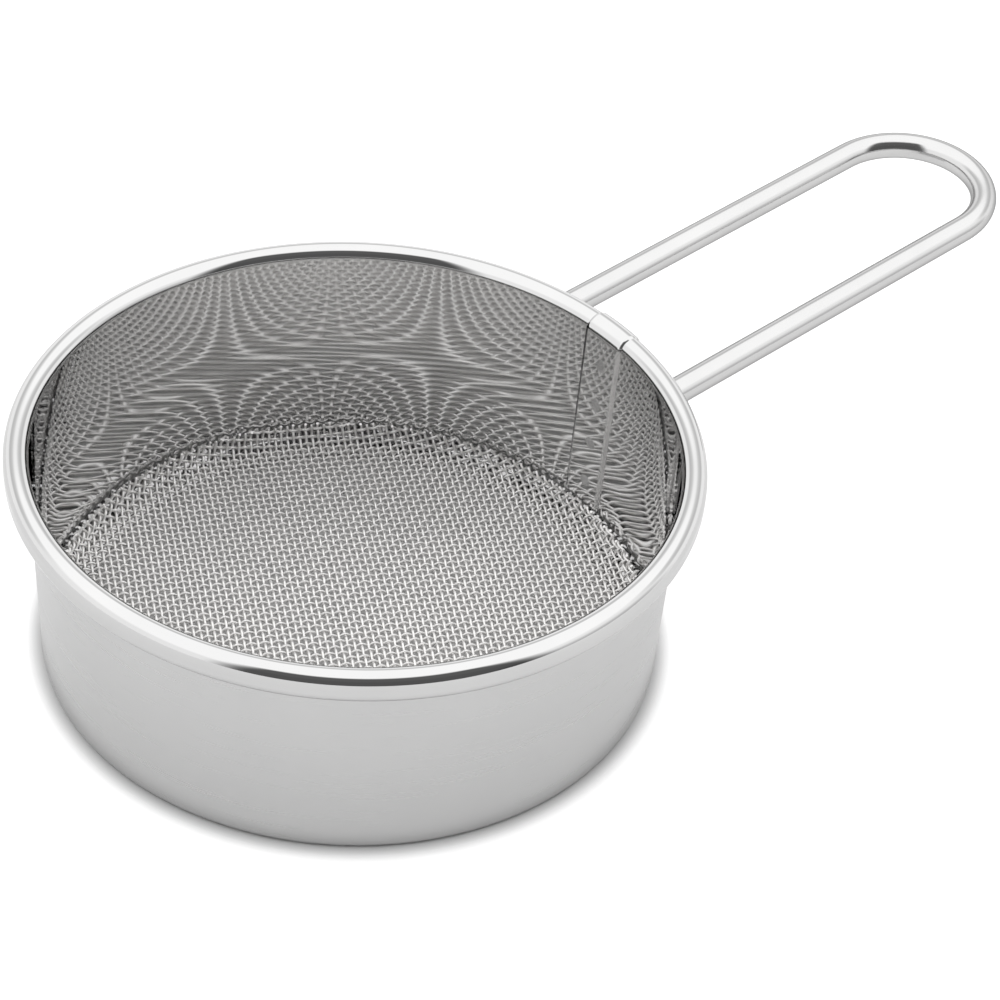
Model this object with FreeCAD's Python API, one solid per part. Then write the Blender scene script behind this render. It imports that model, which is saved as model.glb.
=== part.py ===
import FreeCAD, Part
import math
import os

# Round hand sieve for flour: a lapped sheet-metal band with a rolled rim and an
# inward lip, a woven wire mesh pressed into a shallow tray, and a loop handle.
# Millimetres. Origin: centre of the circle the lip rests on. +X runs out along
# the handle, +Z is up.

# Overall sizes
RIM_OUTER_RADIUS = 60.0
SIEVE_HEIGHT = 43.0
SHEET_THICKNESS = 0.5

# Band: a slightly tapered wall on an inward lip
BASE_INNER_RADIUS = 54.2
LIP_WIDTH = 6.2
LIP_BEND_RADIUS = 0.9

# Rolled rim: the wall curls outward over a wire hoop into a rounded bead
BEAD_RADIUS = 2.15
BEAD_HEIGHT = 5.7
CURL_LENGTH = 3.0
WIRE_CLEARANCE = 0.05

# Lap seam of the band, angles about Z measured from the handle side
LAP_START_ANGLE = -7.0
LAP_END_ANGLE = 2.0
LAP_GAP = 0.1
LAP_TOP_MARGIN = 0.6
LAP_MESH_CLEARANCE = 0.4
LAP_RIM_RISE = 0.3
JOGGLE_ANGLE = 1.2
JOGGLE_OVERLAP_ANGLE = 0.3
LAYER_END_GAP = 0.3
SEAM_WELD_COUNT = 4
SEAM_WELD_RADIUS = 1.3
SEAM_WELD_END_MARGIN = 4.5

# Mesh tray: a flat floor and an edge turned up against the wall
MESH_WIRE_DIAMETER = 0.55
MESH_EDGE_HEIGHT = 3.7
MESH_EDGE_RADIUS = 3.6
MESH_WALL_CLEARANCE = 0.3
MESH_WELD_COUNT = 12
MESH_WELD_RADIUS = 0.8
MESH_WELD_TOP_MARGIN = 1.2

# Handle: one round wire bent to a long loop, welded under the bead
HANDLE_WIRE_DIAMETER = 5.0
HANDLE_LEG_SPACING = 31.0
HANDLE_REACH = 154.5
HANDLE_TILT = 3.8
HANDLE_BEAD_CLEARANCE = 0.05
HANDLE_WELD_LENGTH = 2.2
HANDLE_WELD_SPREAD = 1.6
HANDLE_WELD_TOE = 0.25

# Arcs whose ends lie closer than this meet with no straight stretch between
JOIN_TOLERANCE = 0.0001

# How far a cutting shape reaches past what it cuts
CUT_MARGIN = 1.0

# Sizes that follow from the ones above
HALF_SHEET = SHEET_THICKNESS / 2
WALL_TOP_INNER_RADIUS = RIM_OUTER_RADIUS - 2 * BEAD_RADIUS
WALL_TILT = math.atan2(WALL_TOP_INNER_RADIUS - BASE_INNER_RADIUS,
                       SIEVE_HEIGHT - SHEET_THICKNESS)
LIP_INNER_RADIUS = BASE_INNER_RADIUS - LIP_WIDTH
BEAD_BEND_RADIUS = BEAD_RADIUS - HALF_SHEET
BEAD_CENTRE_Z = SIEVE_HEIGHT - BEAD_RADIUS
BEAD_BOTTOM_Z = SIEVE_HEIGHT - BEAD_HEIGHT
LAP_SHIFT = LAP_GAP + SHEET_THICKNESS - LAP_RIM_RISE
MESH_THICKNESS = 2 * MESH_WIRE_DIAMETER
MESH_OUTER_RADIUS = BASE_INNER_RADIUS - MESH_WALL_CLEARANCE
MESH_TOP_Z = SHEET_THICKNESS + MESH_EDGE_HEIGHT
HANDLE_WIRE_RADIUS = HANDLE_WIRE_DIAMETER / 2
HANDLE_ROOT_Z = BEAD_BOTTOM_Z - HANDLE_BEAD_CLEARANCE - HANDLE_WIRE_RADIUS


def wall_middle_radius(z):
    """Radius of the middle of the tapered wall's sheet at height z."""
    return BASE_INNER_RADIUS + HALF_SHEET + (z - HALF_SHEET) * math.tan(WALL_TILT)


def wall_inner_radius(z):
    """Inner radius of the tapered wall at height z."""
    return wall_middle_radius(z) - HALF_SHEET / math.cos(WALL_TILT)


def bent_strip_face(path, near, far):
    """Cross-section of a bent sheet in the XZ plane.

    path lists (radius, height, bend radius) along a guide line. The sheet lies
    between the offsets near and far to the line's left.
    """
    corners = [FreeCAD.Vector(r, 0, z) for r, z, bend in path]
    bends = [bend for r, z, bend in path]
    left = []
    right = []
    for index, corner in enumerate(corners):
        if index in (0, len(corners) - 1):
            ahead = corners[index + 1] if index == 0 else corner
            behind = corner if index == 0 else corners[index - 1]
            along = (ahead - behind).normalize()
            side = FreeCAD.Vector(-along.z, 0, along.x)
            left.append([corner + side * far])
            right.append([corner + side * near])
            continue
        arrive = (corner - corners[index - 1]).normalize()
        leave = (corners[index + 1] - corner).normalize()
        half_turn = arrive.getAngle(leave) / 2
        setback = bends[index] * math.tan(half_turn)
        start = corner - arrive * setback
        end = corner + leave * setback
        centre_way = (leave - arrive).normalize()
        centre = corner + centre_way * (bends[index] / math.cos(half_turn))
        start_way = (start - centre).normalize()
        end_way = (end - centre).normalize()
        turns_left = arrive.z * leave.x - arrive.x * leave.z < 0
        for line, offset in ((left, far), (right, near)):
            reach = bends[index] + (-offset if turns_left else offset)
            line.append([
                centre + start_way * reach,
                centre - centre_way * reach,
                centre + end_way * reach,
            ])
    return Part.Face(Part.Wire(side_edges(left) + cap_edges(left, right)
                               + side_edges(right)))


def side_edges(stations):
    """Straight and arc edges along one side of a bent strip."""
    edges = []
    for index, station in enumerate(stations):
        if index > 0 and stations[index - 1][-1].distanceToPoint(station[0]) > JOIN_TOLERANCE:
            edges.append(Part.makeLine(stations[index - 1][-1], station[0]))
        if len(station) == 3:
            edges.append(Part.Arc(*station).toShape())
    return edges


def cap_edges(left, right):
    """The two short edges that close a bent strip at its ends."""
    first = Part.makeLine(left[0][0], right[0][0])
    last = Part.makeLine(left[-1][0], right[-1][0])
    return [first, last]


def revolve(face, start_angle=0.0, sweep=360.0):
    """Turn a cross-section in the XZ plane about the Z axis."""
    origin = FreeCAD.Vector(0, 0, 0)
    axis = FreeCAD.Vector(0, 0, 1)
    solid = face.revolve(origin, axis, sweep)
    solid.rotate(origin, axis, start_angle)
    return solid


def polygon_face(points):
    """Flat face in the XZ plane from (radius, height) corners."""
    corners = [FreeCAD.Vector(r, 0, z) for r, z in points]
    return Part.Face(Part.makePolygon(corners + corners[:1]))


def radial_box(angle, inner, outer, bottom, top, width):
    """Upright thin block that points away from the Z axis at the given angle."""
    base = FreeCAD.Vector(inner, -width / 2, bottom)
    block = Part.makeBox(outer - inner, width, top - bottom, base)
    block.rotate(FreeCAD.Vector(0, 0, 0), FreeCAD.Vector(0, 0, 1), angle)
    return block


def radial_pin(angle, inner, outer, z, radius):
    """Round pin that points away from the Z axis at the given angle."""
    way = FreeCAD.Vector(math.cos(math.radians(angle)), math.sin(math.radians(angle)), 0)
    foot = way * inner + FreeCAD.Vector(0, 0, z)
    return Part.makeCylinder(radius, outer - inner, foot, way)


def band_path():
    """Middle line of the band's sheet from the lip's edge to the curl's edge."""
    top_z = SIEVE_HEIGHT - HALF_SHEET
    low_z = BEAD_BOTTOM_Z + HALF_SHEET
    outer_radius = RIM_OUTER_RADIUS - HALF_SHEET
    return [
        (LIP_INNER_RADIUS, HALF_SHEET, 0),
        (BASE_INNER_RADIUS + HALF_SHEET, HALF_SHEET, LIP_BEND_RADIUS),
        (WALL_TOP_INNER_RADIUS + HALF_SHEET, top_z, BEAD_BEND_RADIUS),
        (outer_radius, top_z, BEAD_BEND_RADIUS),
        (outer_radius, low_z, BEAD_BEND_RADIUS),
        (outer_radius - CURL_LENGTH, low_z, 0),
    ]


def lap_bottom_z():
    return MESH_TOP_Z + LAP_MESH_CLEARANCE


def lap_top_z():
    return BEAD_CENTRE_Z - LAP_SHIFT - LAP_TOP_MARGIN


def lap_face(near, far):
    """Section of the lap's upper layer, from the wall over the bead.

    In the wall it stands a gap off the sheet; in the bead it is pressed down.
    """
    wall_top, bead_outer = band_path()[2:4]
    foot = wall_middle_radius(lap_bottom_z()) - LAP_SHIFT
    end_z = BEAD_BOTTOM_Z + HALF_SHEET + BEAD_BEND_RADIUS
    return bent_strip_face([
        (foot, lap_bottom_z(), 0),
        (wall_top[0] - LAP_SHIFT, wall_top[1], BEAD_BEND_RADIUS + LAP_SHIFT),
        bead_outer,
        (bead_outer[0], end_z, 0),
    ], near, far)


def seam_pins():
    """Round cutters through both layers of the lap, evenly spaced in height."""
    low = lap_bottom_z() + SEAM_WELD_END_MARGIN
    high = lap_top_z() - SEAM_WELD_END_MARGIN
    step = (high - low) / (SEAM_WELD_COUNT - 1)
    angle = (LAP_START_ANGLE + LAP_END_ANGLE) / 2
    pins = []
    for index in range(SEAM_WELD_COUNT):
        z = low + step * index
        inner = wall_inner_radius(z) - LAP_GAP - SHEET_THICKNESS - CUT_MARGIN
        outer = wall_inner_radius(z) + SHEET_THICKNESS + CUT_MARGIN
        pins.append(radial_pin(angle, inner, outer, z, SEAM_WELD_RADIUS))
    return pins


def build_band():
    """Wall, lip and rolled rim of one sheet, with its two ends lapped."""
    band = revolve(bent_strip_face(band_path(), -HALF_SHEET, HALF_SHEET))
    near = LAP_RIM_RISE - HALF_SHEET
    far = LAP_RIM_RISE + HALF_SHEET
    upper_layer = revolve(lap_face(near, far), LAP_START_ANGLE, LAP_END_ANGLE - LAP_START_ANGLE)
    joggle = revolve(lap_face(HALF_SHEET / 2 - LAP_SHIFT, far),
                     LAP_END_ANGLE - JOGGLE_OVERLAP_ANGLE, JOGGLE_ANGLE)
    layer_end = radial_box(LAP_END_ANGLE - 2 * JOGGLE_OVERLAP_ANGLE, BASE_INNER_RADIUS,
                           WALL_TOP_INNER_RADIUS + SHEET_THICKNESS + CUT_MARGIN,
                           lap_bottom_z(), lap_top_z(), LAYER_END_GAP)
    band = band.cut(layer_end)
    band = band.fuse(upper_layer.fuse(joggle))
    for pin in seam_pins():
        band = band.cut(pin)
    return band.removeSplitter()


def build_seam_welds():
    """Nuggets of the spot welds that hold the two layers of the lap."""
    through = revolve(lap_face(-HALF_SHEET - LAP_SHIFT, LAP_RIM_RISE + HALF_SHEET),
                      LAP_START_ANGLE, LAP_END_ANGLE - LAP_START_ANGLE)
    return Part.makeCompound([pin.common(through) for pin in seam_pins()])


def build_rim_wire():
    """Hoop of wire inside the bead."""
    radius = BEAD_RADIUS - SHEET_THICKNESS - WIRE_CLEARANCE
    centre = FreeCAD.Vector(0, 0, BEAD_CENTRE_Z)
    return Part.makeTorus(RIM_OUTER_RADIUS - BEAD_RADIUS, radius, centre)


def build_mesh_tray():
    """Envelope of the woven wire: flat floor with its edge turned up."""
    middle_z = SHEET_THICKNESS + MESH_THICKNESS / 2
    edge_radius = MESH_OUTER_RADIUS - MESH_THICKNESS / 2
    path = [
        (0, middle_z, 0),
        (edge_radius, middle_z, MESH_EDGE_RADIUS - MESH_THICKNESS / 2),
        (edge_radius, MESH_TOP_Z, 0),
    ]
    return revolve(bent_strip_face(path, -MESH_THICKNESS / 2, MESH_THICKNESS / 2))


def build_mesh_welds(band, mesh_tray):
    """Nuggets between the mesh's turned-up edge and the wall."""
    nuggets = []
    z = MESH_TOP_Z - MESH_WELD_TOP_MARGIN
    step = 360.0 / MESH_WELD_COUNT
    for index in range(MESH_WELD_COUNT):
        angle = step * (index + 0.5)
        inner = MESH_OUTER_RADIUS - MESH_THICKNESS / 2
        outer = wall_inner_radius(z) + HALF_SHEET
        pin = radial_pin(angle, inner, outer, z, MESH_WELD_RADIUS)
        nuggets.append(pin.cut(mesh_tray).cut(band))
    return Part.makeCompound(nuggets)


def handle_root_x():
    """Where the axis of one handle leg meets the middle of the wall."""
    offset = HANDLE_LEG_SPACING / 2
    radius = wall_inner_radius(HANDLE_ROOT_Z)
    return math.sqrt(radius ** 2 - offset ** 2)


def tilt_handle(shape):
    """Lift the outer end of a shape drawn level below the bead."""
    pivot = FreeCAD.Vector(RIM_OUTER_RADIUS, 0, HANDLE_ROOT_Z)
    shape.rotate(pivot, FreeCAD.Vector(0, 1, 0), -HANDLE_TILT)
    return shape


def cut_at_band(shape, band):
    """Keep what lies outside the wall, fitted to its outer face."""
    core = revolve(polygon_face([
        (0, 0),
        (wall_middle_radius(0), 0),
        (wall_middle_radius(BEAD_CENTRE_Z), BEAD_CENTRE_Z),
        (0, BEAD_CENTRE_Z),
    ]))
    return shape.cut(core).cut(band)


def build_handle(band):
    """Loop of round wire: two straight legs and a half-circle end."""
    half = HANDLE_LEG_SPACING / 2
    root = handle_root_x() - HANDLE_WIRE_DIAMETER
    pivot = RIM_OUTER_RADIUS
    level_reach = pivot + (HANDLE_REACH - pivot) / math.cos(math.radians(HANDLE_TILT))
    bend_x = level_reach - HANDLE_WIRE_RADIUS - half
    z = HANDLE_ROOT_Z
    left_root = FreeCAD.Vector(root, half, z)
    left_bend = FreeCAD.Vector(bend_x, half, z)
    tip = FreeCAD.Vector(bend_x + half, 0, z)
    right_bend = FreeCAD.Vector(bend_x, -half, z)
    right_root = FreeCAD.Vector(root, -half, z)
    path = Part.Wire([
        Part.makeLine(left_root, left_bend),
        Part.Arc(left_bend, tip, right_bend).toShape(),
        Part.makeLine(right_bend, right_root),
    ])
    section = Part.Wire([Part.makeCircle(HANDLE_WIRE_RADIUS, left_root,
                                         FreeCAD.Vector(1, 0, 0))])
    loop = path.makePipeShell([section], True, True)
    return cut_at_band(tilt_handle(loop), band)


def build_handle_weld(side, band, handle):
    """Fillet of weld metal round the root of one leg."""
    y = side * HANDLE_LEG_SPACING / 2
    inside = handle_root_x() - HANDLE_WIRE_RADIUS
    toe = handle_root_x() + SHEET_THICKNESS + HANDLE_WELD_LENGTH
    way = FreeCAD.Vector(1, 0, 0)
    wide = HANDLE_WIRE_RADIUS + HANDLE_WELD_SPREAD
    narrow = HANDLE_WIRE_RADIUS + HANDLE_WELD_TOE
    cone = Part.makeCone(wide, narrow, toe - inside,
                         FreeCAD.Vector(inside, y, HANDLE_ROOT_Z), way)
    back = Part.makeCylinder(wide, HANDLE_WIRE_DIAMETER,
                             FreeCAD.Vector(inside - HANDLE_WIRE_DIAMETER, y, HANDLE_ROOT_Z), way)
    return cut_at_band(tilt_handle(cone.fuse(back)), band).cut(handle)


def main():
    os.makedirs("parts", exist_ok=True)
    band = build_band()
    mesh_tray = build_mesh_tray()
    handle = build_handle(band)
    pieces = {
        "sieve_band": band,
        "rim_wire": build_rim_wire(),
        "seam_spot_welds": build_seam_welds(),
        "woven_mesh_tray": mesh_tray,
        "mesh_spot_welds": build_mesh_welds(band, mesh_tray),
        "loop_handle": handle,
        "handle_weld_left": build_handle_weld(1, band, handle),
        "handle_weld_right": build_handle_weld(-1, band, handle),
    }
    for name, shape in pieces.items():
        shape.exportStep("parts/" + name + ".step")


main()
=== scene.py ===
import math

import bpy
import numpy as np
from mathutils import Matrix, Vector


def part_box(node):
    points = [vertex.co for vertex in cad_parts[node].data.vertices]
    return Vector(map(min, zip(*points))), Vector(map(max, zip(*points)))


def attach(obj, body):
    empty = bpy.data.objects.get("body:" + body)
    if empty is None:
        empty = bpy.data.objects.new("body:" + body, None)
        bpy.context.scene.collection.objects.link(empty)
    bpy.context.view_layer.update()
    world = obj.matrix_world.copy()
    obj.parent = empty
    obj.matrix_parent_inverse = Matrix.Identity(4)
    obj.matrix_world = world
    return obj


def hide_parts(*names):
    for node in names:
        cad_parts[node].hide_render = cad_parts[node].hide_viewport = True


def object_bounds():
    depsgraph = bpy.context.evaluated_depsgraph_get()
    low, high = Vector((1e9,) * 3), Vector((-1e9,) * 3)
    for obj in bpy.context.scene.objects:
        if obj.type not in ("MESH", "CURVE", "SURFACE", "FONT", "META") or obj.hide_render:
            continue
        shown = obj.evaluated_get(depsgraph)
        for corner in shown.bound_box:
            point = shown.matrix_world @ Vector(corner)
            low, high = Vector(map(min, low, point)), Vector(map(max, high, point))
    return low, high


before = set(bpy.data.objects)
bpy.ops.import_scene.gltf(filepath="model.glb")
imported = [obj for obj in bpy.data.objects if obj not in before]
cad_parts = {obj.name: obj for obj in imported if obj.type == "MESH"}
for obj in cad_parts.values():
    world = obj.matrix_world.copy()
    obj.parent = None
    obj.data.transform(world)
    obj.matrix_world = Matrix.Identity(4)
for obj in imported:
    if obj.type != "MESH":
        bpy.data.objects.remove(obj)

# Round flour sieve in stainless steel. Metres: the origin is
# the centre of the circle the sieve stands on, +X runs out along the handle
# and +Z is up.

MM = 0.001

# Wire cloth: round wires in a plain weave, pressed into a shallow tray. The
# wires of the first direction are spaced more closely than those of the second.
WIRE_DIAMETER = 0.55 * MM
WIRE_SPACING = (1.205 * MM, 1.509 * MM)
CLOTH_TURN = math.radians(61.5)
CLOTH_BEND_RADIUS = 3.1 * MM
CLOTH_SHIFT = (0.3 * MM, 0.2 * MM)
WIRE_SIDES = 6
STEPS_PER_CROSSING = 4
WIRE_WANDER = 0.03 * MM
CRIMP_VARIATION = 0.04

# A wire sways from side to side, by one radian of its wave in so many crossings.
# Its last point stays this share of a step clear of the one before it.
CROSSINGS_PER_RADIAN = 9
END_ROOM = 0.3

# Where a wire climbs more steeply than this, its rings are lined up with the
# direction to a point on the sieve's axis, this many metres above them, and not
# with the vertical
STEEP = 0.7
AXIS_POINT_RISE = 0.15

# Keeps directions defined at the centre of the cloth
TINY = 1e-9

# Band: one sheet, from the lip under the mesh to the end of the rolled bead
SHEET = 0.5 * MM
RIM_RADIUS = 60.0 * MM
HEIGHT = 43.0 * MM
BASE_RADIUS = 54.2 * MM
LIP_WIDTH = 6.2 * MM
LIP_BEND = 0.9 * MM
BEAD_RADIUS = 2.15 * MM
BEAD_HEIGHT = 5.7 * MM
CURL_LENGTH = 3.0 * MM
BEND_STEP = math.radians(5.0)
RING_STEPS = 360

# Lap: the upper layer stands off the wall and is pressed down in the bead. Its
# free edge is rolled over a little.
LAP_START = math.radians(-7.0)
LAP_END = math.radians(2.0)
JOGGLE = math.radians(1.2)
EDGE_ROLL = math.radians(0.9)
LAP_GAP = 0.1 * MM
LAP_RISE = 0.3 * MM
LAP_FOOT = 4.6 * MM
LAP_SINK = 0.09 * MM
THINNEST = 0.05 * MM
LAP_STEPS = 20
JOGGLE_STEPS = 12
EDGE_STEPS = 9

# Marks that the spot welder's electrodes leave on both sides of the lap
SPOT_RADIUS = 1.3 * MM
SPOT_RISE = 0.05 * MM
SPOT_SINK = 0.01 * MM
SPOT_COUNT = 4
SPOT_RINGS = 8
SPOT_STEPS = 32

# Radius between the satin wall and the polished bead outside
BEAD_START = 56.9 * MM
MASK_SOFTNESS = 0.15 * MM

# Camera, as a photographer would note it
VIEW_AZIMUTH = math.radians(-133.94)
VIEW_ELEVATION = math.radians(39.6)
VIEW_ROLL = math.radians(4.71)
VIEW_DISTANCE = 0.5534
AIM_RIGHT = 0.0269
AIM_UP = 0.0227
LENS_MM = 111.1
SENSOR_MM = 36.0

# Studio: radiance of the overhead softbox, of the bright walls, of the dimmer
# band between them on the far side, and of the dark corner behind the camera
SOFTBOX = 1.45
WALLS = 1.22
FAR_BAND = 0.78
DARK_SHARE = 0.9
DARK_AZIMUTH = math.radians(-120.0)
SIDE_AZIMUTH = math.radians(-57.0)
SIDE_DIM = 0.5
BACKGROUND = 1.0

# Where those areas fade: WIDTH is the cosine of the angle to the area's azimuth,
# and the others are the sine of the elevation
DARK_WIDTH = (0.60, 0.78)
DARK_TOP = (0.84, 0.93)
FAR_WIDTH = (0.1, 0.6)
FAR_BOTTOM = (0.30, 0.42)
FAR_TOP = (0.56, 0.66)
SIDE_WIDTH = (0.80, 0.97)
SIDE_TOP = (0.10, 0.42)
SOFTBOX_EDGE = (0.45, 0.66)

FLOOR_RADIUS = 3.0
FLOOR_SIDES = 96

# The floor glows faintly, from nothing under the sieve's edge to its full
# strength at this many base radii, which leaves a soft contact shadow
FLOOR_GLOW = 0.32
GLOW_FULL = 1.08

# Start of every random draw
SEED = 7


# ---------------------------------------------------------------- node helpers

def feed(tree, socket, value):
    """Link an input to a socket, or set it to a constant."""
    if isinstance(value, bpy.types.NodeSocket):
        tree.links.new(value, socket)
    else:
        socket.default_value = value


def add_node(tree, kind, **values):
    """New shader node, with constants or sockets for the inputs that are named."""
    node = tree.nodes.new(kind)
    for name, value in values.items():
        feed(tree, node.inputs[name], value)
    return node


def operation_node(tree, kind, operation, operands):
    """Math or Vector Math node; each operand is a constant or a socket."""
    node = tree.nodes.new(kind)
    node.operation = operation
    for socket, value in zip(node.inputs, operands):
        feed(tree, socket, value)
    return node


def math_node(tree, operation, *operands):
    """Result of one Math node."""
    return operation_node(tree, "ShaderNodeMath", operation, operands).outputs[0]


def vector_node(tree, operation, *operands):
    """One Vector Math node."""
    return operation_node(tree, "ShaderNodeVectorMath", operation, operands)


def level_way(tree, vector):
    """Direction of a vector seen from above."""
    flat = vector_node(tree, "MULTIPLY", vector, (1, 1, 0)).outputs[0]
    return vector_node(tree, "NORMALIZE", flat).outputs[0]


def dot(tree, first, second):
    """Dot product of two vectors, each a triple or a socket."""
    return vector_node(tree, "DOT_PRODUCT", first, second).outputs["Value"]


def mix_value(tree, factor, first, second):
    """Blend of two numbers, each a constant or a socket."""
    node = tree.nodes.new("ShaderNodeMix")
    for index, value in ((0, factor), (2, first), (3, second)):
        feed(tree, node.inputs[index], value)
    return node.outputs[0]


def ramp(tree, value, low, high, low_result=0.0, high_result=1.0):
    """Smooth step of value from low to high."""
    node = tree.nodes.new("ShaderNodeMapRange")
    node.interpolation_type = "SMOOTHSTEP"
    tree.links.new(value, node.inputs["Value"])
    node.inputs["From Min"].default_value = low
    node.inputs["From Max"].default_value = high
    node.inputs["To Min"].default_value = low_result
    node.inputs["To Max"].default_value = high_result
    return node.outputs["Result"]


def noise(tree, vector, scale, detail=3.0, roughness=0.55):
    """Grey noise, scale in cycles per metre of the vector."""
    node = add_node(tree, "ShaderNodeTexNoise", Vector=vector, Scale=scale, Detail=detail,
                    Roughness=roughness)
    return node.outputs["Fac"]


def mix_colour(tree, factor, first, second):
    """Blend of two colours, each a tuple or a socket."""
    node = tree.nodes.new("ShaderNodeMix")
    node.data_type = "RGBA"
    for index, value in ((0, factor), (6, first), (7, second)):
        feed(tree, node.inputs[index], value)
    return node.outputs[2]


def grey(level, warmth=0.0):
    """Colour of the given level, a little warmer (+) or cooler (-)."""
    return (level * (1 + warmth), level, level * (1 - warmth), 1.0)


def new_metal(name):
    """Material with a metallic Principled shader; returns (material, tree, shader)."""
    material = bpy.data.materials.new(name)
    material.use_nodes = True
    tree = material.node_tree
    shader = tree.nodes["Principled BSDF"]
    shader.inputs["Metallic"].default_value = 1.0
    return material, tree, shader


def object_position(tree):
    """Position in metres, from the origin of the sieve."""
    return add_node(tree, "ShaderNodeTexCoord").outputs["Object"]


def ring_coordinates(tree, position, along, across):
    """Coordinates that run round the Z axis without a seam, and the radius.

    along and across are how fast they change around and up the surface.
    """
    split = add_node(tree, "ShaderNodeSeparateXYZ", Vector=position)
    x, y, z = split.outputs
    radius = math_node(tree, "SQRT", math_node(tree, "ADD", math_node(tree, "MULTIPLY", x, x),
                                               math_node(tree, "MULTIPLY", y, y)))
    around_x = math_node(tree, "MULTIPLY", math_node(tree, "DIVIDE", x, radius), along)
    around_y = math_node(tree, "MULTIPLY", math_node(tree, "DIVIDE", y, radius), along)
    height = math_node(tree, "MULTIPLY", math_node(tree, "ADD", z, radius), across)
    joined = tree.nodes.new("ShaderNodeCombineXYZ")
    for socket, value in zip(joined.inputs, (around_x, around_y, height)):
        tree.links.new(value, socket)
    return joined.outputs[0], radius


def add_bump(tree, shader, height, strength, distance):
    """Bump the shader by a height socket; distance is in metres."""
    bump = add_node(tree, "ShaderNodeBump", Strength=strength, Distance=distance, Height=height)
    tree.links.new(bump.outputs["Normal"], shader.inputs["Normal"])


# ------------------------------------------------------------------- materials

def band_material():
    """Sheet steel: mirror polish inside and on the rim, satin on the outer wall."""
    material, tree, shader = new_metal("band_steel")
    position = object_position(tree)
    brushed, radius = ring_coordinates(tree, position, 1.5, 2500.0)
    geometry = add_node(tree, "ShaderNodeNewGeometry")
    facing = dot(tree, geometry.outputs["Normal"], level_way(tree, position))
    outside = ramp(tree, facing, 0.1, 0.4)
    wall = ramp(tree, radius, BEAD_START, BEAD_START + MASK_SOFTNESS, 1.0, 0.0)
    satin = math_node(tree, "MULTIPLY", outside, wall)

    grain = noise(tree, brushed, 1.0, 2.0)
    patches = noise(tree, position, 55.0, 3.0)
    smudges = noise(tree, position, 190.0, 4.0)
    polished_rough = math_node(tree, "MULTIPLY_ADD", smudges, 0.03, 0.02)
    satin_rough = math_node(tree, "MULTIPLY_ADD", grain, 0.04, 0.26)
    rough = mix_value(tree, satin, polished_rough, satin_rough)
    tree.links.new(rough, shader.inputs["Roughness"])

    polished = mix_colour(tree, patches, grey(0.61), grey(0.67, 0.004))
    satin_colour = mix_colour(tree, patches, grey(0.60), grey(0.64, 0.003))
    colour = mix_colour(tree, satin, polished, satin_colour)
    tree.links.new(colour, shader.inputs["Base Color"])

    waves = noise(tree, position, 28.0, 1.0)
    grain_height = math_node(tree, "MULTIPLY", grain, 0.0004)
    height = math_node(tree, "ADD", waves, grain_height)
    add_bump(tree, shader, height, 1.0, 0.05 * MM)
    return material


def wire_material():
    """Bright drawn wire of the cloth, a little uneven in tone."""
    material, tree, shader = new_metal("mesh_steel")
    position = object_position(tree)
    patches = noise(tree, position, 60.0, 3.0)
    fine = noise(tree, position, 2600.0, 2.0)
    colour = mix_colour(tree, patches, grey(0.86, 0.008), grey(0.95, 0.014))
    tree.links.new(colour, shader.inputs["Base Color"])
    rough = math_node(tree, "MULTIPLY_ADD", fine, 0.14, 0.42)
    tree.links.new(rough, shader.inputs["Roughness"])
    add_bump(tree, shader, fine, 0.25, 0.02 * MM)
    return material


def handle_material():
    """Polished round wire with faint drawing lines along its length."""
    material, tree, shader = new_metal("handle_steel")
    position = object_position(tree)
    stretched = add_node(tree, "ShaderNodeMapping", Vector=position, Scale=(25.0, 1500.0, 1500.0))
    lines = noise(tree, stretched.outputs[0], 1.0, 2.0)
    patches = noise(tree, position, 70.0, 3.0)
    rough = math_node(tree, "MULTIPLY_ADD", lines, 0.07, 0.09)
    tree.links.new(rough, shader.inputs["Roughness"])
    colour = mix_colour(tree, patches, grey(0.60), grey(0.67, 0.006))
    tree.links.new(colour, shader.inputs["Base Color"])
    # Grey edge tint: painted shade that darkens the wire's outline where its surface turns away
    # from view
    shader.inputs["Specular Tint"].default_value = grey(0.45)
    add_bump(tree, shader, lines, 0.08, 0.02 * MM)
    return material


def weld_material():
    """Weld metal: ripples, a duller surface and a straw to blue heat tint."""
    material, tree, shader = new_metal("weld_metal")
    position = object_position(tree)
    ripples = noise(tree, position, 1400.0, 3.0)
    tint = noise(tree, position, 420.0, 2.0)
    warm = mix_colour(tree, tint, grey(0.50), (0.56, 0.47, 0.34, 1.0))
    colour = mix_colour(tree, ramp(tree, tint, 0.55, 0.75), warm, (0.36, 0.39, 0.47, 1.0))
    tree.links.new(colour, shader.inputs["Base Color"])
    rough = math_node(tree, "MULTIPLY_ADD", ripples, 0.3, 0.25)
    tree.links.new(rough, shader.inputs["Roughness"])
    add_bump(tree, shader, ripples, 0.6, 0.08 * MM)
    return material


def spot_material():
    """Electrode marks: the sheet's own steel, slightly duller."""
    material, tree, shader = new_metal("spot_steel")
    position = object_position(tree)
    pressed = noise(tree, position, 1600.0, 3.0)
    patches = noise(tree, position, 260.0, 2.0)
    colour = mix_colour(tree, patches, grey(0.53), grey(0.60))
    tree.links.new(colour, shader.inputs["Base Color"])
    rough = math_node(tree, "MULTIPLY_ADD", pressed, 0.1, 0.12)
    tree.links.new(rough, shader.inputs["Roughness"])
    add_bump(tree, shader, pressed, 0.2, 0.02 * MM)
    return material


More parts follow.
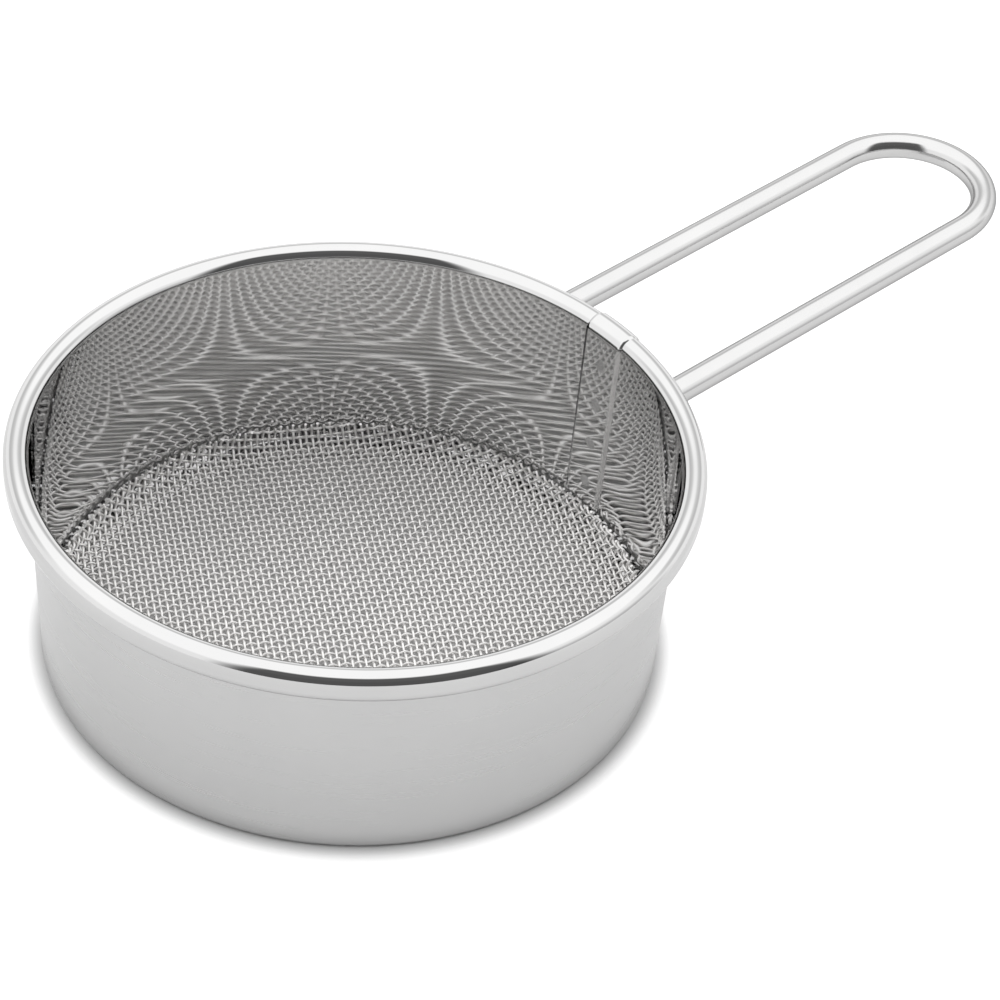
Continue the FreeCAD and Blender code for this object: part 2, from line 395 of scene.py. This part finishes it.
def hoop_material():
    """Plain drawn wire inside the rolled rim."""
    material, tree, shader = new_metal("hoop_steel")
    position = object_position(tree)
    drawn = ring_coordinates(tree, position, 6.0, 3000.0)[0]
    lines = noise(tree, drawn, 1.0, 2.0)
    colour = mix_colour(tree, lines, grey(0.42), grey(0.56))
    tree.links.new(colour, shader.inputs["Base Color"])
    rough = math_node(tree, "MULTIPLY_ADD", lines, 0.2, 0.3)
    tree.links.new(rough, shader.inputs["Roughness"])
    add_bump(tree, shader, lines, 0.3, 0.02 * MM)
    return material


def floor_material():
    """Matt white table that glows a little, apart from the sieve's contact shadow."""
    material = bpy.data.materials.new("floor_white")
    material.use_nodes = True
    tree = material.node_tree
    shader = tree.nodes["Principled BSDF"]
    position = object_position(tree)
    speckle = noise(tree, position, 30.0, 2.0)
    colour = mix_colour(tree, speckle, grey(0.63), grey(0.65))
    tree.links.new(colour, shader.inputs["Base Color"])
    shader.inputs["Roughness"].default_value = 0.9
    shader.inputs["Specular IOR Level"].default_value = 0.1
    shader.inputs["Emission Color"].default_value = (1, 1, 1, 1)
    around = vector_node(tree, "LENGTH", position).outputs["Value"]
    glow = ramp(tree, around, BASE_RADIUS, GLOW_FULL * BASE_RADIUS, 0.0, FLOOR_GLOW)
    seen = add_node(tree, "ShaderNodeLightPath").outputs["Is Camera Ray"]
    glow = math_node(tree, "MULTIPLY", glow, math_node(tree, "ADD", seen, 1.0))
    tree.links.new(glow, shader.inputs["Emission Strength"])
    return material


def dress_node(node, material):
    """Put a material on a CAD node's own material slots."""
    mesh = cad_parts[node].data
    if not mesh.materials:
        mesh.materials.append(material)
    for index in range(len(mesh.materials)):
        mesh.materials[index] = material


# ------------------------------------------------------------------ wire cloth

def tray_shape():
    """Sizes of the cloth's middle surface, from the tray's box."""
    low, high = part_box("woven_mesh_tray")
    wall_radius = high.x - WIRE_DIAMETER
    flat_radius = wall_radius - CLOTH_BEND_RADIUS
    middle_z = low.z + WIRE_DIAMETER
    upright = high.z - middle_z - CLOTH_BEND_RADIUS
    reach = flat_radius + CLOTH_BEND_RADIUS * math.pi / 2 + upright
    return flat_radius, middle_z, reach


def press_into_tray(flat, lift, flat_radius, middle_z):
    """Bend points of the flat cloth, lifted off its middle surface, into the tray."""
    reach = np.hypot(flat[:, 0], flat[:, 1])
    past = np.maximum(reach - flat_radius, 0.0)
    turn = np.minimum(past / CLOTH_BEND_RADIUS, math.pi / 2)
    upright = np.maximum(past - CLOTH_BEND_RADIUS * math.pi / 2, 0.0)
    radius = np.minimum(reach, flat_radius) + CLOTH_BEND_RADIUS * np.sin(turn)
    height = middle_z + CLOTH_BEND_RADIUS * (1 - np.cos(turn)) + upright
    radius = radius - lift * np.sin(turn)
    height = height + lift * np.cos(turn)
    way = flat / np.maximum(reach, TINY)[:, None]
    return np.column_stack([way * radius[:, None], height])


def wire_path(across, offset, phase, reach, wander):
    """Flat points and lifts of one crimped wire that runs along the first axis."""
    crossing = WIRE_SPACING[1 - across]
    half = math.sqrt(max(reach ** 2 - offset ** 2, 0.0))
    step = crossing / STEPS_PER_CROSSING
    first = math.ceil(-half / step + END_ROOM)
    last = math.floor(half / step - END_ROOM)
    along = np.concatenate([[-half], np.arange(first, last + 1) * step, [half]])
    crimp = WIRE_DIAMETER / 2 * (1 - CRIMP_VARIATION * wander[0])
    lift = crimp * np.cos(math.pi * along / crossing + phase)
    sway = WIRE_WANDER * np.sin(along / (CROSSINGS_PER_RADIAN * crossing) + 2 * math.pi * wander[1])
    return along, offset + sway, lift


def tube_around(centres, radius, sides):
    """Ring vertices and side faces of a round tube along a list of points."""
    tangent = np.gradient(centres, axis=0)
    tangent /= np.linalg.norm(tangent, axis=1)[:, None]
    inward = -centres * (1, 1, 0)
    leaning = np.array([0.0, 0.0, AXIS_POINT_RISE]) + inward
    side = np.cross(tangent, np.where(np.abs(tangent[:, 2:]) > STEEP, leaning, (0.0, 0.0, 1.0)))
    side /= np.linalg.norm(side, axis=1)[:, None]
    normal = np.cross(side, tangent)
    angles = np.arange(sides) * 2 * math.pi / sides
    rings = (centres[:, None, :]
             + radius * np.cos(angles)[None, :, None] * side[:, None, :]
             + radius * np.sin(angles)[None, :, None] * normal[:, None, :])
    count = len(centres)
    ring, corner = np.meshgrid(np.arange(count - 1), np.arange(sides), indexing="ij")
    after = (corner + 1) % sides
    quads = np.stack([ring * sides + corner, ring * sides + after,
                      (ring + 1) * sides + after, (ring + 1) * sides + corner], axis=-1)
    return rings.reshape(-1, 3), quads.reshape(-1, 4)


def place_wire(across, index, reach, wander, surface):
    """Middle line, in the tray, of one wire of the first or second direction."""
    offset = index * WIRE_SPACING[across] + CLOTH_SHIFT[across]
    other = 1 - across
    phase = math.pi * (index + across) - math.pi * CLOTH_SHIFT[other] / WIRE_SPACING[other]
    along, sideways, lift = wire_path(across, offset, phase, reach, wander)
    flat = np.column_stack([along, sideways])
    if across:
        flat = np.column_stack([-flat[:, 1], flat[:, 0]])
    turn = np.array([[math.cos(CLOTH_TURN), math.sin(CLOTH_TURN)],
                     [-math.sin(CLOTH_TURN), math.cos(CLOTH_TURN)]])
    return press_into_tray(flat @ turn, lift, *surface)


def build_wires(name, across, start, material):
    """Every second wire of one direction, from index `start`, as one piece."""
    flat_radius, middle_z, reach = tray_shape()
    random = np.random.default_rng(SEED + 2 * across + start)
    count = int(reach / WIRE_SPACING[across]) + 1
    vertices = []
    faces = []
    caps = []
    total = 0
    for index in range(-2 * count + start, 2 * count, 2):
        wander = random.random(2)
        offset = index * WIRE_SPACING[across] + CLOTH_SHIFT[across]
        if abs(offset) > reach - WIRE_DIAMETER:
            continue
        centres = place_wire(across, index, reach, wander, (flat_radius, middle_z))
        rings, quads = tube_around(centres, WIRE_DIAMETER / 2, WIRE_SIDES)
        vertices.append(rings)
        faces.extend((quads + total).tolist())
        caps.append(list(range(total + WIRE_SIDES - 1, total - 1, -1)))
        total += len(rings)
        caps.append(list(range(total - WIRE_SIDES, total)))
    mesh = bpy.data.meshes.new(name)
    mesh.from_pydata(np.concatenate(vertices).tolist(), [], faces + caps)
    smooth = np.ones(len(mesh.polygons), bool)
    smooth[len(faces):] = False
    mesh.polygons.foreach_set("use_smooth", smooth)
    add_piece(name, mesh, material, "woven_mesh_tray")


def add_piece(name, mesh, material, replaced):
    """Link a finished mesh as a piece that stands in for a CAD node."""
    mesh.materials.append(material)
    mesh.update()
    piece = bpy.data.objects.new(name, mesh)
    bpy.context.scene.collection.objects.link(piece)
    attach(piece, "root")
    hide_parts(replaced)


# ------------------------------------------------------------------ sheet band

def left_of(way):
    """Direction at a right angle, to the left of a (radius, height) direction."""
    return np.array([-way[1], way[0]])


def bent_line(path):
    """Points and left-hand normals along a line of (radius, height, bend)."""
    corners = [np.array(place[:2]) for place in path]
    bends = [place[2] for place in path]
    ways = [(end - start) / np.linalg.norm(end - start)
            for start, end in zip(corners, corners[1:])]
    points = [corners[0]]
    normals = [left_of(ways[0])]
    for corner, bend, arrive, leave in zip(corners[1:-1], bends[1:-1], ways, ways[1:]):
        turn = math.atan2(arrive[0] * leave[1] - arrive[1] * leave[0], arrive @ leave)
        start = corner - arrive * bend * math.tan(abs(turn) / 2)
        side = math.copysign(bend, turn)
        centre = start + left_of(arrive) * side
        steps = math.ceil(abs(turn) / BEND_STEP)
        for angle in np.linspace(0, turn, steps + 1):
            way = (math.cos(angle) * arrive + math.sin(angle) * left_of(arrive))
            points.append(centre - left_of(way) * side)
            normals.append(left_of(way))
    points.append(corners[-1])
    normals.append(left_of(ways[-1]))
    return np.array(points), np.array(normals)


def sweep(line, facing, angles, lean=0.0):
    """Grid of places and normals of a (radius, height) line turned about Z."""
    out = np.stack([np.cos(angles), np.sin(angles)], axis=-1)[:, None, :]
    onward = np.stack([-np.sin(angles), np.cos(angles)], axis=-1)[:, None, :]
    line = np.broadcast_to(line, (len(angles),) + line.shape[-2:])
    facing = np.broadcast_to(facing, line.shape)
    places = np.concatenate([line[..., :1] * out, line[..., 1:]], axis=-1)
    normals = np.concatenate([facing[..., :1] * out + lean * onward, facing[..., 1:]], axis=-1)
    return places, normals / np.linalg.norm(normals, axis=-1, keepdims=True)


def mesh_from_patches(name, patches):
    """Smooth mesh of several grids, each with its own exact normals."""
    vertices = []
    normals = []
    faces = []
    total = 0
    for places, facing in patches:
        rows, columns = places.shape[:2]
        row, column = np.meshgrid(np.arange(rows - 1), np.arange(columns - 1), indexing="ij")
        first = (row * columns + column).reshape(-1)
        quads = np.stack([first, first + columns, first + columns + 1, first + 1], axis=-1)
        flat = places.reshape(-1, 3)
        sample = quads[len(quads) // 2]
        face_way = np.cross(flat[sample[2]] - flat[sample[0]], flat[sample[3]] - flat[sample[1]])
        if face_way @ facing.reshape(-1, 3)[sample[0]] < 0:
            quads = quads[:, ::-1]
        vertices.append(flat)
        normals.append(facing.reshape(-1, 3))
        faces.append(quads + total)
        total += len(flat)
    mesh = bpy.data.meshes.new(name)
    mesh.from_pydata(np.concatenate(vertices).tolist(), [], np.concatenate(faces).tolist())
    mesh.polygons.foreach_set("use_smooth", np.ones(len(mesh.polygons), bool))
    mesh.normals_split_custom_set_from_vertices(np.concatenate(normals).tolist())
    return mesh


def band_path():
    """Middle line of the sheet from the lip's edge to the end of the bead."""
    half = SHEET / 2
    bend = BEAD_RADIUS - half
    top_z = HEIGHT - half
    low_z = HEIGHT - BEAD_HEIGHT + half
    outer = RIM_RADIUS - half
    return [
        (BASE_RADIUS - LIP_WIDTH, half, 0),
        (BASE_RADIUS + half, half, LIP_BEND),
        (RIM_RADIUS - 2 * BEAD_RADIUS + half, top_z, bend),
        (outer, top_z, bend),
        (outer, low_z, bend),
        (outer - CURL_LENGTH, low_z, 0),
    ]


def wall_radius(z):
    """Middle radius of the sheet in the tapered wall at height z."""
    base, top = band_path()[1:3]
    return base[0] + (top[0] - base[0]) * (z - base[1]) / (top[1] - base[1])


def lap_path():
    """Guide line of the lap's upper layer, from the wall over the bead."""
    wall_top, bead_outer, bead_low = band_path()[2:5]
    shift = LAP_GAP + SHEET - LAP_RISE
    return [
        (wall_radius(LAP_FOOT) - shift, LAP_FOOT, 0),
        (wall_top[0] - shift, wall_top[1], wall_top[2] + shift),
        bead_outer,
        (bead_outer[0], bead_low[1] + bead_low[2], 0),
    ]


def sheet_patches():
    """Both faces and both edges of the sheet, all the way round."""
    points, normals = bent_line(band_path())
    angles = np.linspace(0, 2 * math.pi, RING_STEPS + 1)
    half = SHEET / 2
    patches = [sweep(points + normals * half, normals, angles),
               sweep(points - normals * half, -normals, angles)]
    for index, outward in ((0, -1), (-1, 1)):
        edge = np.array([points[index] - normals[index] * half,
                         points[index] + normals[index] * half])
        facing = -left_of(normals[index]) * outward
        patches.append(sweep(edge, facing[None, :], angles))
    return patches


def lap_patches():
    """Upper layer of the lap, with its free edge and the joggle that ends it."""
    points, normals = bent_line(lap_path())
    angles = np.concatenate([LAP_START + EDGE_ROLL * np.linspace(0, 1, EDGE_STEPS)[:-1],
                             np.linspace(LAP_START + EDGE_ROLL, LAP_END, LAP_STEPS),
                             LAP_END + JOGGLE * np.linspace(0, 1, JOGGLE_STEPS)[1:]])
    far = LAP_RISE + SHEET / 2
    drop = far + LAP_SINK
    edge = np.clip((LAP_START + EDGE_ROLL - angles) / EDGE_ROLL, 0, 1)
    fade = np.clip((angles - LAP_END) / JOGGLE, 0, 1)
    top = far - drop * (edge ** 2 + fade ** 2 * (3 - 2 * fade))
    under = np.minimum(LAP_RISE - SHEET / 2, top - THINNEST)
    slope = 6 * fade * (1 - fade) / JOGGLE - 2 * edge / EDGE_ROLL
    lean = (drop * slope / RIM_RADIUS)[:, None, None]
    upper, upper_normals = sweep(points + normals * top[:, None, None], normals, angles, lean)
    lower, lower_normals = sweep(points + normals * under[:, None, None], -normals, angles)
    free_way = (math.sin(LAP_START), -math.cos(LAP_START), 0.0)
    free_edge = np.stack([lower[0], upper[0]])
    foot = np.stack([lower[:, 0], upper[:, 0]])
    bead_end = np.stack([lower[:, -1], upper[:, -1]])
    down = (0.0, 0.0, -1.0)
    return [(upper, upper_normals), (lower, lower_normals),
            (free_edge, np.broadcast_to(free_way, free_edge.shape)),
            (foot, np.broadcast_to(down, foot.shape)),
            (bead_end, np.broadcast_to(down, bead_end.shape))]


def spot_patch(height, offset, side):
    """One slightly raised round mark on the wall's inner (-1) or outer (+1) face."""
    reach, around = np.meshgrid(np.linspace(0, SPOT_RADIUS, SPOT_RINGS),
                                np.linspace(0, 2 * math.pi, SPOT_STEPS), indexing="ij")
    share = reach / SPOT_RADIUS
    z = height + reach * np.sin(around)
    base = wall_radius(z) + offset
    angle = (LAP_START + LAP_END) / 2 + reach * np.cos(around) / base
    radius = base + side * (SPOT_RISE * (1 - share ** 4) - SPOT_SINK)
    places = np.stack([radius * np.cos(angle), radius * np.sin(angle), z], axis=-1)
    slope = 4 * SPOT_RISE / SPOT_RADIUS * share ** 3
    out = np.stack([np.cos(angle), np.sin(angle), np.zeros_like(z)], axis=-1)
    onward = np.stack([-np.sin(angle), np.cos(angle), np.zeros_like(z)], axis=-1)
    lean = onward * np.cos(around)[..., None] + np.array([0, 0, 1.0]) * np.sin(around)[..., None]
    normals = side * out + slope[..., None] * lean
    return places, normals / np.linalg.norm(normals, axis=-1, keepdims=True)


def build_band(material):
    """The lapped sheet as one piece."""
    mesh = mesh_from_patches("band_sheet", sheet_patches() + lap_patches())
    add_piece("band_sheet", mesh, material, "sieve_band")


def build_spot_marks(material):
    """Marks of the spot welds on both sides of the lap."""
    low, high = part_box("seam_spot_welds")
    heights = np.linspace(low.z + SPOT_RADIUS, high.z - SPOT_RADIUS, SPOT_COUNT)
    inner = -SHEET / 2 - LAP_GAP - SHEET
    patches = [spot_patch(height, offset, side) for height in heights
               for offset, side in ((inner, -1), (SHEET / 2, 1))]
    mesh = mesh_from_patches("seam_spot_marks", patches)
    add_piece("seam_spot_marks", mesh, material, "seam_spot_welds")


# ---------------------------------------------------------------------- studio

def build_floor(height):
    """Wide round table top."""
    mesh = bpy.data.meshes.new("floor")
    angles = [2 * math.pi * k / FLOOR_SIDES for k in range(FLOOR_SIDES)]
    ring = [(FLOOR_RADIUS * math.cos(angle), FLOOR_RADIUS * math.sin(angle), height)
            for angle in angles]
    mesh.from_pydata(ring, [], [list(range(FLOOR_SIDES))])
    mesh.materials.append(floor_material())
    floor = bpy.data.objects.new("floor", mesh)
    bpy.context.scene.collection.objects.link(floor)


def build_world():
    """Soft studio: bright ceiling and walls, and a dark corner behind the camera."""
    world = bpy.data.worlds.new("studio")
    bpy.context.scene.world = world
    world.use_nodes = True
    tree = world.node_tree
    background = tree.nodes["Background"]
    way = add_node(tree, "ShaderNodeTexCoord").outputs["Generated"]
    rise = add_node(tree, "ShaderNodeSeparateXYZ", Vector=way).outputs["Z"]
    level = level_way(tree, way)
    dark_way = (math.cos(DARK_AZIMUTH), math.sin(DARK_AZIMUTH), 0.0)
    far_way = (-math.cos(VIEW_AZIMUTH), -math.sin(VIEW_AZIMUTH), 0.0)
    side_way = (math.cos(SIDE_AZIMUTH), math.sin(SIDE_AZIMUTH), 0.0)
    dark = math_node(tree, "MULTIPLY", ramp(tree, dot(tree, level, dark_way), *DARK_WIDTH),
                     ramp(tree, rise, *DARK_TOP, 1.0, 0.0))
    dim_rise = math_node(tree, "MULTIPLY", ramp(tree, rise, *FAR_BOTTOM),
                         ramp(tree, rise, *FAR_TOP, 1.0, 0.0))
    dim = math_node(tree, "MULTIPLY", dim_rise, ramp(tree, dot(tree, level, far_way), *FAR_WIDTH))
    side_dim = math_node(tree, "MULTIPLY", ramp(tree, dot(tree, level, side_way), *SIDE_WIDTH),
                         ramp(tree, rise, *SIDE_TOP, 1.0, 0.0))
    lit = ramp(tree, rise, *SOFTBOX_EDGE, WALLS, SOFTBOX)
    lit = math_node(tree, "MULTIPLY_ADD", dim, FAR_BAND - WALLS, lit)
    lit = math_node(tree, "MULTIPLY_ADD", side_dim, -SIDE_DIM, lit)
    kept = math_node(tree, "MULTIPLY_ADD", dark, -DARK_SHARE, 1.0)
    studio = math_node(tree, "MULTIPLY", lit, kept)
    seen = add_node(tree, "ShaderNodeLightPath").outputs["Is Camera Ray"]
    strength = mix_value(tree, seen, studio, BACKGROUND)
    tree.links.new(strength, background.inputs["Strength"])
    background.inputs["Color"].default_value = (1.0, 1.0, 1.0, 1.0)


def build_camera():
    """Camera from above, opposite the handle and to its right."""
    back = Vector((math.cos(VIEW_AZIMUTH) * math.cos(VIEW_ELEVATION),
                   math.sin(VIEW_AZIMUTH) * math.cos(VIEW_ELEVATION),
                   math.sin(VIEW_ELEVATION)))
    level = Vector((0, 0, 1)).cross(back).normalized()
    upright = back.cross(level)
    right = math.cos(VIEW_ROLL) * level + math.sin(VIEW_ROLL) * upright
    up = -math.sin(VIEW_ROLL) * level + math.cos(VIEW_ROLL) * upright
    place = back * VIEW_DISTANCE + right * AIM_RIGHT + up * AIM_UP
    lens = bpy.data.cameras.new("camera")
    lens.lens = LENS_MM
    lens.sensor_width = SENSOR_MM
    lens.clip_start = 0.01
    camera = bpy.data.objects.new("camera", lens)
    camera.matrix_world = Matrix((
        (right.x, up.x, back.x, place.x),
        (right.y, up.y, back.y, place.y),
        (right.z, up.z, back.z, place.z),
        (0, 0, 0, 1),
    ))
    bpy.context.scene.collection.objects.link(camera)
    bpy.context.scene.camera = camera


def main():
    """Dress the CAD nodes, build the visible pieces and set up the studio."""
    cad_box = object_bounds()
    weld = weld_material()
    spot = spot_material()
    dress_node("loop_handle", handle_material())
    dress_node("rim_wire", hoop_material())
    dress_node("mesh_spot_welds", spot)
    for node in ("handle_weld_left", "handle_weld_right"):
        dress_node(node, weld)
    build_band(band_material())
    build_spot_marks(spot)
    wire = wire_material()
    for across, direction in enumerate(("warp", "weft")):
        build_wires(direction + "_wires_even", across, 0, wire)
        build_wires(direction + "_wires_odd", across, 1, wire)
    build_floor(cad_box[0][2])
    build_world()
    build_camera()
    bpy.context.scene.view_settings.view_transform = "Standard"


main()
